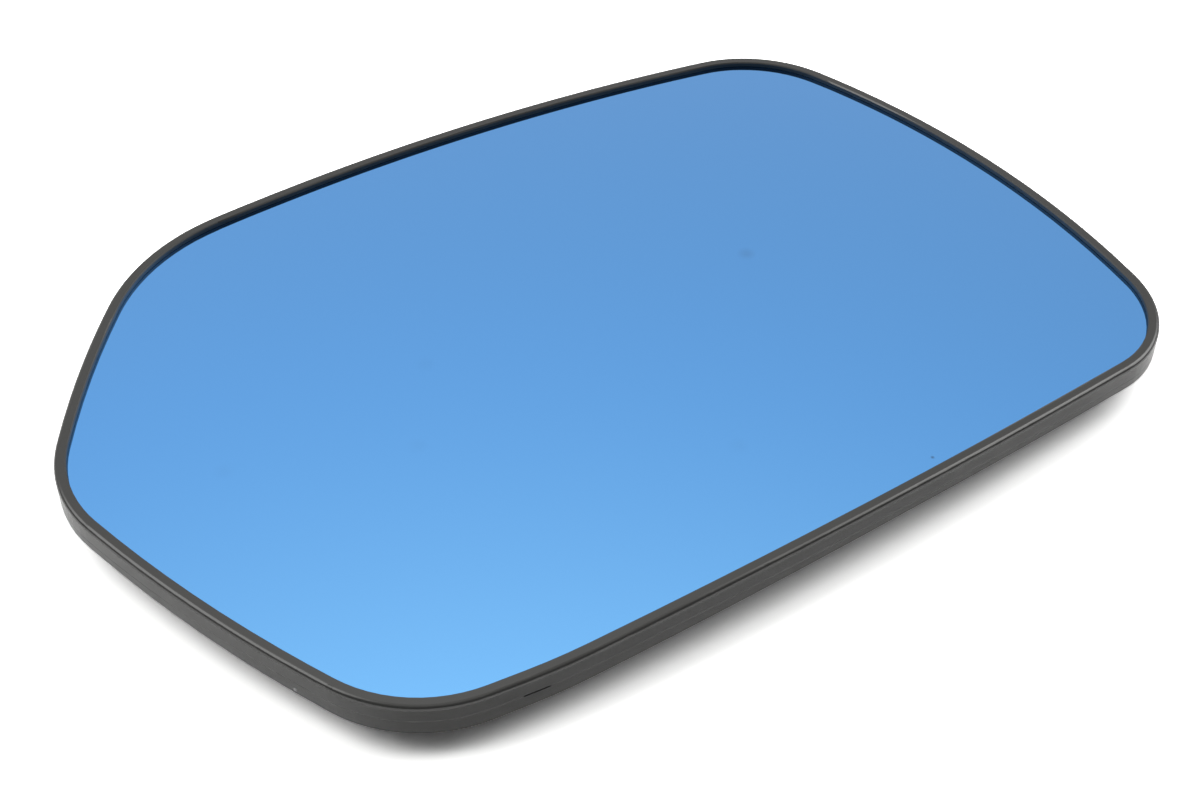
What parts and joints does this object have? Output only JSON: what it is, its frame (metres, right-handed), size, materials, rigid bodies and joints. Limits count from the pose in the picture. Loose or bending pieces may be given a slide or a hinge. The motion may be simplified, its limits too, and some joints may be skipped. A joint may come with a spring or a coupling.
{
  "type": "car door mirror glass",
  "caption": "Convex blue-tinted door mirror glass in a dark moulded holder with a rounded lip, a low side wall and a round press-on collar at its back.",
  "frame": {"origin": "centre of the outline, in the plane of the collar's rear face, which the part lies on; the collar's axis passes through it", "axes": "+X across the mirror towards the door, +Y up the mirror's height, +Z out of the reflecting face"},
  "size_m": [0.1896, 0.1297, 0.0136],
  "materials": {
    "blue_mirror": "polished, blue tinted",
    "dark_plastic": "satin moulded",
    "pad_foam": "closed-cell foam"
  },
  "bodies": {
    "root": {"mirror_glass": "blue_mirror", "backing_plate": "dark_plastic", "bonding_pad": "pad_foam"}
  },
  "joints": []
}
